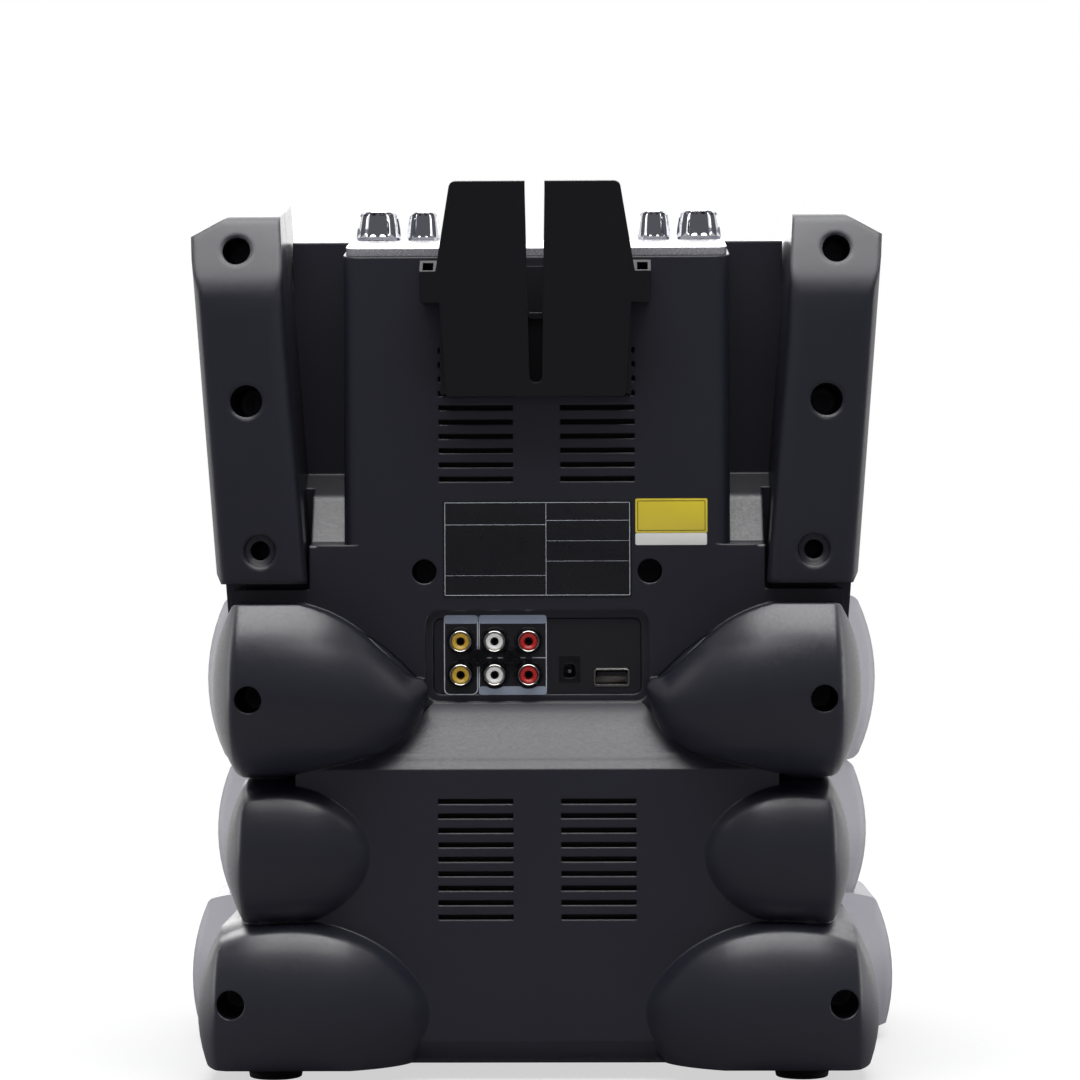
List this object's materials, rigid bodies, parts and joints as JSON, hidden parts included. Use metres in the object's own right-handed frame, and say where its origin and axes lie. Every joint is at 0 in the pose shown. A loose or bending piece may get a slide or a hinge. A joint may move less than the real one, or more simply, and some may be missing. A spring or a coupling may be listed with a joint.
{
  "type": "karaoke machine with disc tray",
  "caption": "Upright karaoke machine: lobed two-shell casing with side handles, rear sockets, phone cradle, top knobs, screen, speaker and sliding disc tray.",
  "frame": {"origin": "on the floor under the middle of the casing's bounding box", "axes": "front -Y, rear with the sockets +Y, up +Z, the machine's left handle +X"},
  "size_m": [0.2894, 0.239, 0.3412],
  "materials": {
    "black_shell": "satin moulded plastic",
    "silver_shell": "silver painted moulded plastic",
    "fascia": "glossy black plastic",
    "top_plate": "silver plastic",
    "socket_panel": "printed matte plastic",
    "plate": "bare plate",
    "plated": "bright plated",
    "yellow": "coloured insert",
    "white": "coloured insert",
    "red": "coloured insert",
    "rubber": "soft rubber",
    "circuit_board": "board with parts",
    "screw_steel": "black zinc",
    "steel": "bright steel",
    "magnet": "ferrite",
    "basket": "pressed sheet",
    "cone": "pressed paper",
    "screen": "tinted window",
    "display": "display module",
    "light_guide": "milky light guide",
    "grille": "moulded grille",
    "loader": "moulded loader parts",
    "gear": "natural acetal",
    "brass": "turned"
  },
  "bodies": {
    "casing": {"rear_shell": "black_shell", "front_shell": "silver_shell", "fascia_panel": "fascia", "top_plate": "top_plate", "handle_cover_left": "black_shell", "handle_cover_right": "black_shell", "io_panel": "socket_panel", "phono_collars": "plated", "phono_yellow": "yellow", "phono_white": "white", "phono_red": "red", "dc_jack": "socket_panel", "usb_port": "steel", "rating_plate": "plate", "screws": "screw_steel", "rubber_feet": "rubber", "potentiometers": "steel", "control_board": "circuit_board", "main_board": "circuit_board", "io_board": "circuit_board", "lcd_module": "display", "screen_lens": "screen", "button_board": "circuit_board", "mic_jacks": "plated", "speaker_grille": "grille", "woofer_basket": "basket", "woofer_magnet": "magnet", "woofer_surround": "rubber", "light_ring": "light_guide", "light_board": "circuit_board", "loader_frame": "loader", "loader_motor": "steel", "drive_belt": "rubber", "clamp_bridge": "steel"},
    "tray": {"disc_tray": "loader", "tray_door": "fascia"},
    "gear_wheel": {"drive_gear": "gear"},
    "pulley_wheel": {"belt_wheel": "gear"},
    "motor_shaft": {"motor_pulley": "brass"},
    "traverse": {"traverse_chassis": "loader", "spindle_motor": "steel", "guide_rods": "steel"},
    "disc_table": {"turntable": "gear"},
    "laser_sled": {"pickup_sled": "loader"},
    "sled_screw": {"feed_screw": "steel"},
    "disc_clamp": {"clamp_puck": "gear"},
    "cradle": {"phone_cradle": "black_shell"},
    "cone": {"woofer_cone": "cone"},
    "big_knob_left_body": {"big_knob_left": "plated"},
    "small_knob_left_body": {"small_knob_left": "plated"},
    "small_knob_right_body": {"small_knob_right": "plated"},
    "big_knob_right_body": {"big_knob_right": "plated"},
    "button_power_body": {"button_power": "plated"},
    "button_menu_body": {"button_menu": "plated"},
    "button_previous_body": {"button_previous": "plated"},
    "button_play_body": {"button_play": "plated"},
    "button_next_body": {"button_next": "plated"},
    "button_stop_body": {"button_stop": "plated"},
    "button_eject_body": {"button_eject": "plated"}
  },
  "joints": [
    {"name": "tray_slide", "type": "slide", "parent": "casing", "child": "tray", "axis": [0, -1, 0], "range_m": [0, 0.118]},
    {"name": "gear_turn", "type": "hinge", "parent": "casing", "child": "gear_wheel", "pos_m": [0.047, -0.092, 0.165], "axis": [0, 0, 1], "range_deg": [-700, 5]},
    {"name": "pulley_turn", "type": "hinge", "parent": "casing", "child": "pulley_wheel", "pos_m": [0.027, -0.092, 0.165], "axis": [0, 0, 1], "range_deg": [-5, 2100]},
    {"name": "motor_turn", "type": "hinge", "parent": "casing", "child": "motor_shaft", "pos_m": [0.004, -0.092, 0.165], "axis": [0, 0, 1], "range_deg": [-5, 6600]},
    {"name": "traverse_tilt", "type": "hinge", "parent": "casing", "child": "traverse", "pos_m": [0, 0.036, 0.164], "axis": [1, 0, 0], "range_deg": [0, 5]},
    {"name": "disc_spin", "type": "hinge", "parent": "traverse", "child": "disc_table", "pos_m": [0, -0.04, 0.17], "axis": [0, 0, 1], "continuous": true},
    {"name": "sled_slide", "type": "slide", "parent": "traverse", "child": "laser_sled", "axis": [0, 1, 0], "range_m": [0, 0.034]},
    {"name": "screw_turn", "type": "hinge", "parent": "traverse", "child": "sled_screw", "pos_m": [0.0186, 0, 0.1662], "axis": [0, 1, 0], "range_deg": [-5, 4100]},
    {"name": "clamp_spin", "type": "hinge", "parent": "casing", "child": "disc_clamp", "pos_m": [0, -0.04, 0.184], "axis": [0, 0, 1], "continuous": true},
    {"name": "cradle_lift", "type": "slide", "parent": "casing", "child": "cradle", "axis": [0, 0, 1], "range_m": [0, 0.006]},
    {"name": "cone_stroke", "type": "slide", "parent": "casing", "child": "cone", "axis": [0, 1, 0], "range_m": [-0.002, 0.002], "stiffness_N_per_m": 1500},
    {"name": "big_knob_left_turn", "type": "hinge", "parent": "casing", "child": "big_knob_left_body", "pos_m": [0.065, 0.002, 0.32694], "axis": [0, 0, 1], "range_deg": [-150, 150]},
    {"name": "small_knob_left_turn", "type": "hinge", "parent": "casing", "child": "small_knob_left_body", "pos_m": [0.0468, 0.002, 0.32694], "axis": [0, 0, 1], "range_deg": [-150, 150]},
    {"name": "small_knob_right_turn", "type": "hinge", "parent": "casing", "child": "small_knob_right_body", "pos_m": [-0.0468, 0.002, 0.32694], "axis": [0, 0, 1], "range_deg": [-150, 150]},
    {"name": "big_knob_right_turn", "type": "hinge", "parent": "casing", "child": "big_knob_right_body", "pos_m": [-0.065, 0.002, 0.32694], "axis": [0, 0, 1], "range_deg": [-150, 150]},
    {"name": "button_power_press", "type": "slide", "parent": "casing", "child": "button_power_body", "axis": [0, 1, 0], "range_m": [0, 0.0012], "stiffness_N_per_m": 600},
    {"name": "button_menu_press", "type": "slide", "parent": "casing", "child": "button_menu_body", "axis": [0, 1, 0], "range_m": [0, 0.0012], "stiffness_N_per_m": 600},
    {"name": "button_previous_press", "type": "slide", "parent": "casing", "child": "button_previous_body", "axis": [0, 1, 0], "range_m": [0, 0.0012], "stiffness_N_per_m": 600},
    {"name": "button_play_press", "type": "slide", "parent": "casing", "child": "button_play_body", "axis": [0, 1, 0], "range_m": [0, 0.0012], "stiffness_N_per_m": 600},
    {"name": "button_next_press", "type": "slide", "parent": "casing", "child": "button_next_body", "axis": [0, 1, 0], "range_m": [0, 0.0012], "stiffness_N_per_m": 600},
    {"name": "button_stop_press", "type": "slide", "parent": "casing", "child": "button_stop_body", "axis": [0, 1, 0], "range_m": [0, 0.0012], "stiffness_N_per_m": 600},
    {"name": "button_eject_press", "type": "slide", "parent": "casing", "child": "button_eject_body", "axis": [0, 1, 0], "range_m": [0, 0.0012], "stiffness_N_per_m": 600}
  ],
  "couplings": [
    {"joint": "gear_turn", "follows": "tray_slide", "rad_per_m": -100},
    {"joint": "pulley_turn", "follows": "tray_slide", "rad_per_m": 300},
    {"joint": "motor_turn", "follows": "tray_slide", "rad_per_m": 960},
    {"joint": "traverse_tilt", "follows": "tray_slide", "rad_per_m": 0.73},
    {"joint": "screw_turn", "follows": "sled_slide", "rad_per_m": 2094.4},
    {"joint": "clamp_spin", "follows": "disc_spin", "ratio": 1}
  ]
}
